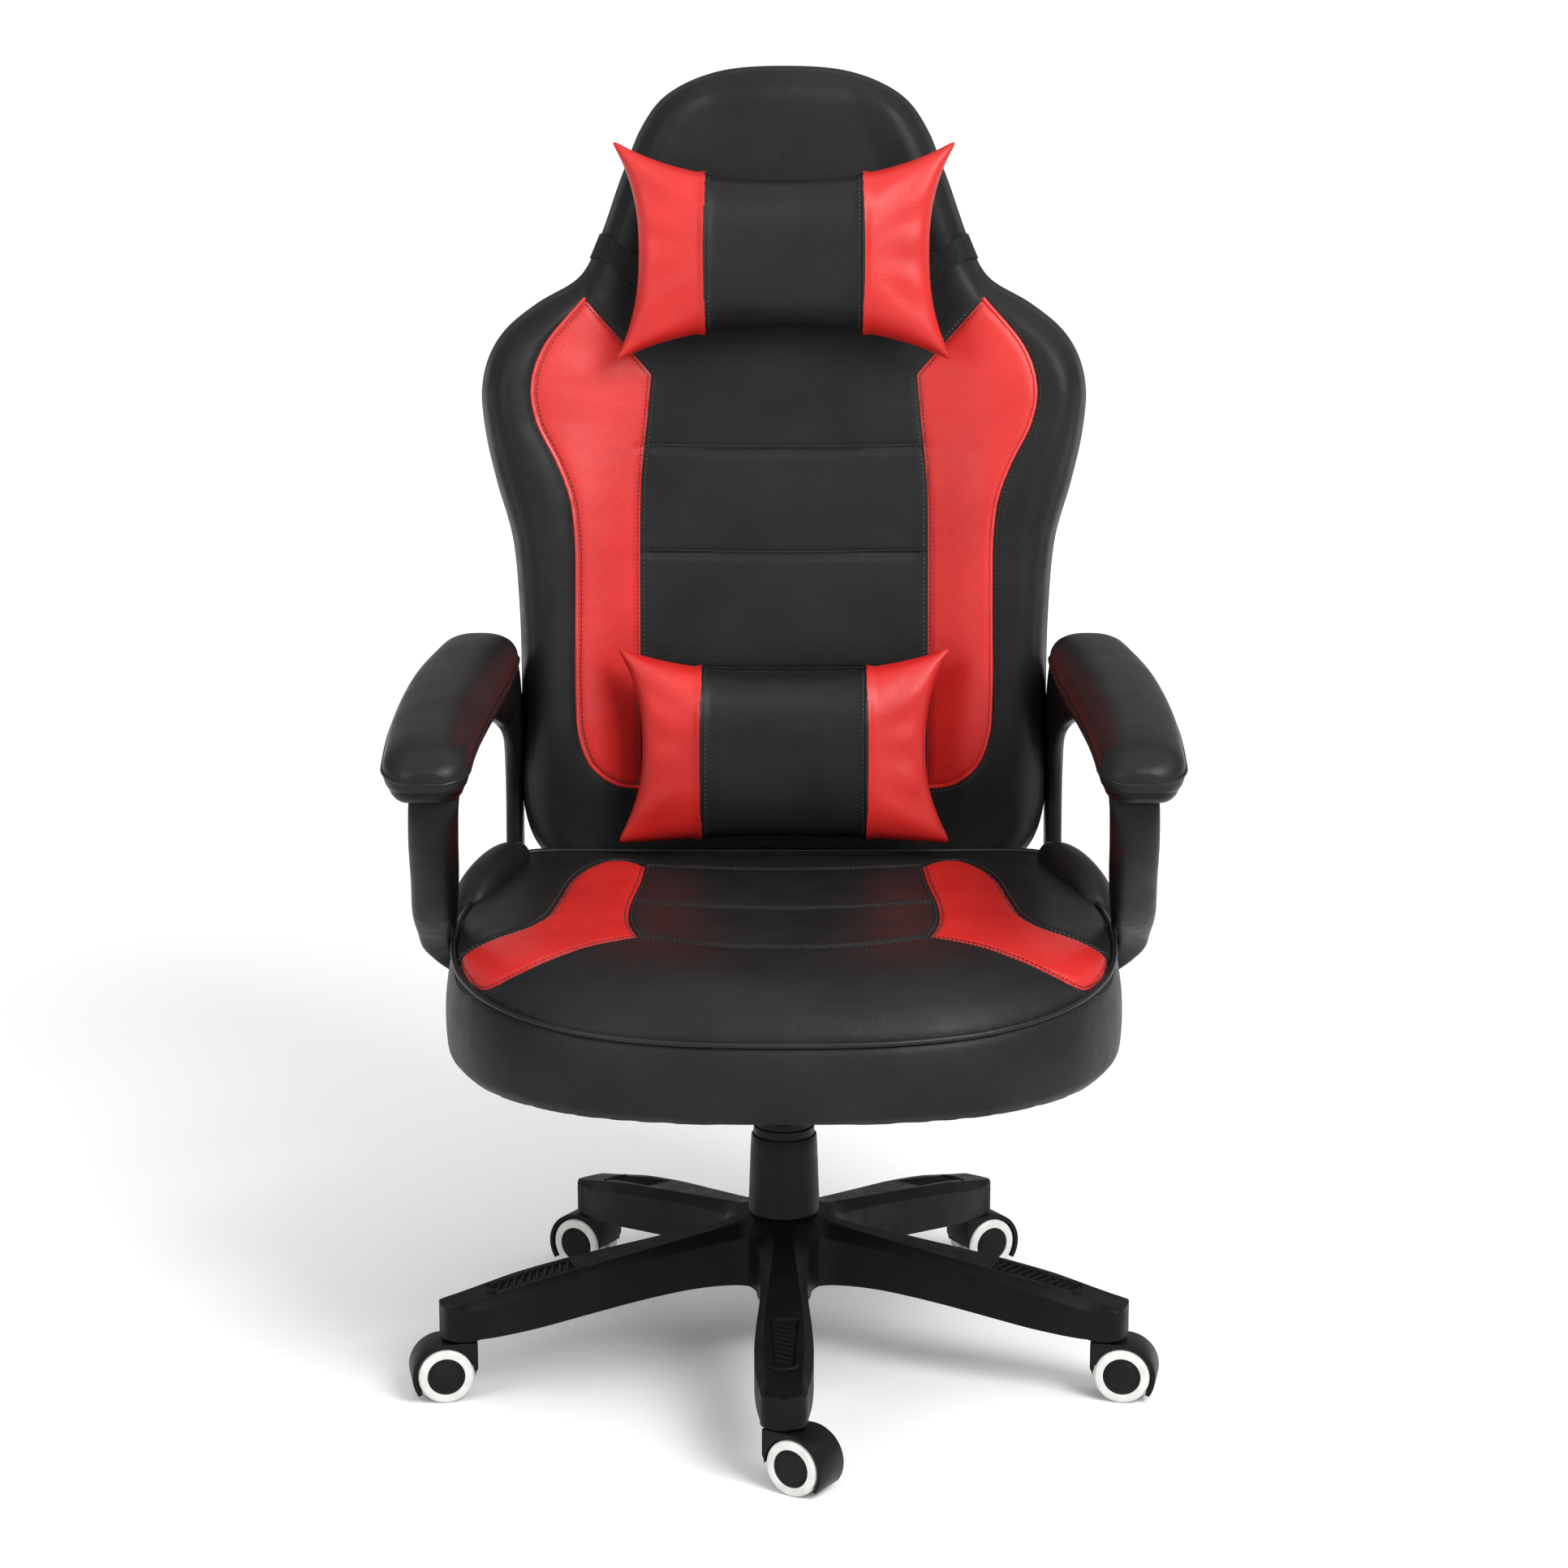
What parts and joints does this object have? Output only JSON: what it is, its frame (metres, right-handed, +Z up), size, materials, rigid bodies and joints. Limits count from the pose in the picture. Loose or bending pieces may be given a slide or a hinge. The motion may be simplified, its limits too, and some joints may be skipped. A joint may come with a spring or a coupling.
{
  "type": "gaming chair",
  "caption": "High-back gaming chair in black and red leatherette, with loop arms, head and lumbar pillows, gas lift, tilt mechanism and a star base on twin-wheel casters.",
  "frame": {"origin": "on the floor, on the axis of the column, under the middle of the bounding box", "axes": "+Z up; the sitter faces -Y; +X is the sitter's left"},
  "size_m": [0.6708, 0.6829, 1.1462],
  "materials": {
    "black_leather": "satin",
    "red_leather": "satin",
    "black_plastic": "satin",
    "pale_tread": "satin",
    "bright_steel": "satin",
    "black_steel": "satin",
    "plywood": "matte",
    "elastic": "matte"
  },
  "bodies": {
    "base": {"base_star": "black_plastic", "gas_outer_tube": "black_steel", "guide_bush": "black_plastic", "thrust_bearing": "bright_steel", "cover_lower": "black_plastic"},
    "gas_core": {"gas_piston_rod": "bright_steel"},
    "lift": {"gas_cylinder": "bright_steel", "cover_upper": "black_plastic", "tilt_housing": "black_steel", "tilt_pin": "bright_steel", "tension_spring": "bright_steel"},
    "cover_stage": {"cover_middle": "black_plastic"},
    "release": {"release_pin": "bright_steel"},
    "lever": {"height_lever": "bright_steel", "lever_handle": "black_plastic"},
    "knob": {"tension_knob": "black_plastic"},
    "seat": {"seat_plate": "black_steel", "seat_board": "plywood", "seat_cushion": "black_leather", "seat_bolster_left": "black_leather", "seat_bolster_right": "black_leather", "seat_bolt_left": "bright_steel", "seat_bolt_right": "bright_steel", "back_cushion": "black_leather", "back_board": "plywood", "back_cover": "black_leather", "back_bolt_left": "bright_steel", "back_bolt_right": "bright_steel", "arm_frame_left": "black_plastic", "arm_frame_right": "black_plastic", "arm_pad_left": "black_leather", "arm_pad_right": "black_leather"},
    "head_rest": {"head_pillow": "red_leather", "head_strap": "elastic"},
    "lumbar_rest": {"lumbar_pillow": "red_leather"},
    "caster_1": {"caster_1_hood": "black_plastic", "caster_1_stem": "bright_steel", "caster_1_axle": "bright_steel"},
    "caster_1_left": {"caster_1_wheel_left": "pale_tread"},
    "caster_1_right": {"caster_1_wheel_right": "pale_tread"},
    "caster_2": {"caster_2_hood": "black_plastic", "caster_2_stem": "bright_steel", "caster_2_axle": "bright_steel"},
    "caster_2_left": {"caster_2_wheel_left": "pale_tread"},
    "caster_2_right": {"caster_2_wheel_right": "pale_tread"},
    "caster_3": {"caster_3_hood": "black_plastic", "caster_3_stem": "bright_steel", "caster_3_axle": "bright_steel"},
    "caster_3_left": {"caster_3_wheel_left": "pale_tread"},
    "caster_3_right": {"caster_3_wheel_right": "pale_tread"},
    "caster_4": {"caster_4_hood": "black_plastic", "caster_4_stem": "bright_steel", "caster_4_axle": "bright_steel"},
    "caster_4_left": {"caster_4_wheel_left": "pale_tread"},
    "caster_4_right": {"caster_4_wheel_right": "pale_tread"},
    "caster_5": {"caster_5_hood": "black_plastic", "caster_5_stem": "bright_steel", "caster_5_axle": "bright_steel"},
    "caster_5_left": {"caster_5_wheel_left": "pale_tread"},
    "caster_5_right": {"caster_5_wheel_right": "pale_tread"}
  },
  "joints": [
    {"name": "seat_swivel", "type": "hinge", "parent": "base", "child": "gas_core", "pos_m": [0, 0, 0.07], "axis": [0, 0, 1], "continuous": true},
    {"name": "gas_lift", "type": "slide", "parent": "gas_core", "child": "lift", "axis": [0, 0, 1], "range_m": [0, 0.08]},
    {"name": "cover_stage_slide", "type": "slide", "parent": "base", "child": "cover_stage", "axis": [0, 0, 1], "range_m": [0, 0.04]},
    {"name": "height_lever_lift", "type": "hinge", "parent": "lift", "child": "lever", "pos_m": [-0.044, -0.065, 0.288], "axis": [0, 1, 0], "range_deg": [0, 3.5], "stiffness_Nm_per_rad": 2, "springref_deg": -2.86},
    {"name": "release_pin_press", "type": "slide", "parent": "lift", "child": "release", "axis": [0, 0, 1], "range_m": [-0.0027, 0]},
    {"name": "tension_knob_turn", "type": "hinge", "parent": "lift", "child": "knob", "pos_m": [0, -0.048, 0.25], "axis": [0, 0, 1], "range_deg": [0, 1440]},
    {"name": "seat_tilt", "type": "hinge", "parent": "lift", "child": "seat", "pos_m": [0, -0.085, 0.296], "axis": [-1, 0, 0], "range_deg": [0, 12], "stiffness_Nm_per_rad": 200, "springref_deg": -20.05, "deforming": ["tension_spring"]},
    {"name": "head_pillow_slide", "type": "slide", "parent": "seat", "child": "head_rest", "axis": [0, 0.1305, 0.9914], "range_m": [0, 0.03]},
    {"name": "lumbar_pillow_slide", "type": "slide", "parent": "seat", "child": "lumbar_rest", "axis": [0, 0.1305, 0.9914], "range_m": [0, 0.08]},
    {"name": "caster_1_swivel", "type": "hinge", "parent": "base", "child": "caster_1", "pos_m": [0, -0.3, 0.056], "axis": [0, 0, 1], "continuous": true},
    {"name": "caster_1_left_roll", "type": "hinge", "parent": "caster_1", "child": "caster_1_left", "pos_m": [0.01527, -0.30954, 0.025], "axis": [0.5299, 0.848, 0], "continuous": true},
    {"name": "caster_1_right_roll", "type": "hinge", "parent": "caster_1", "child": "caster_1_right", "pos_m": [0.01527, -0.30954, 0.025], "axis": [0.5299, 0.848, 0], "continuous": true},
    {"name": "caster_2_swivel", "type": "hinge", "parent": "base", "child": "caster_2", "pos_m": [0.28532, -0.0927, 0.056], "axis": [0, 0, 1], "continuous": true},
    {"name": "caster_2_left_roll", "type": "hinge", "parent": "caster_2", "child": "caster_2_left", "pos_m": [0.30304, -0.09583, 0.025], "axis": [0.1736, 0.9848, 0], "continuous": true},
    {"name": "caster_2_right_roll", "type": "hinge", "parent": "caster_2", "child": "caster_2_right", "pos_m": [0.30304, -0.09583, 0.025], "axis": [0.1736, 0.9848, 0], "continuous": true},
    {"name": "caster_3_swivel", "type": "hinge", "parent": "base", "child": "caster_3", "pos_m": [0.17634, 0.24271, 0.056], "axis": [0, 0, 1], "continuous": true},
    {"name": "caster_3_left_roll", "type": "hinge", "parent": "caster_3", "child": "caster_3_left", "pos_m": [0.19192, 0.25171, 0.025], "axis": [-0.5, 0.866, 0], "continuous": true},
    {"name": "caster_3_right_roll", "type": "hinge", "parent": "caster_3", "child": "caster_3_right", "pos_m": [0.19192, 0.25171, 0.025], "axis": [-0.5, 0.866, 0], "continuous": true},
    {"name": "caster_4_swivel", "type": "hinge", "parent": "base", "child": "caster_4", "pos_m": [-0.17634, 0.24271, 0.056], "axis": [0, 0, 1], "continuous": true},
    {"name": "caster_4_left_roll", "type": "hinge", "parent": "caster_4", "child": "caster_4_left", "pos_m": [-0.19192, 0.25171, 0.025], "axis": [-0.5, -0.866, 0], "continuous": true},
    {"name": "caster_4_right_roll", "type": "hinge", "parent": "caster_4", "child": "caster_4_right", "pos_m": [-0.19192, 0.25171, 0.025], "axis": [-0.5, -0.866, 0], "continuous": true},
    {"name": "caster_5_swivel", "type": "hinge", "parent": "base", "child": "caster_5", "pos_m": [-0.28532, -0.0927, 0.056], "axis": [0, 0, 1], "continuous": true},
    {"name": "caster_5_left_roll", "type": "hinge", "parent": "caster_5", "child": "caster_5_left", "pos_m": [-0.30304, -0.09583, 0.025], "axis": [0.1736, -0.9848, 0], "continuous": true},
    {"name": "caster_5_right_roll", "type": "hinge", "parent": "caster_5", "child": "caster_5_right", "pos_m": [-0.30304, -0.09583, 0.025], "axis": [0.1736, -0.9848, 0], "continuous": true}
  ],
  "couplings": [
    {"joint": "cover_stage_slide", "follows": "gas_lift", "ratio": 0.5},
    {"joint": "release_pin_press", "follows": "height_lever_lift", "m_per_rad": -0.044}
  ]
}
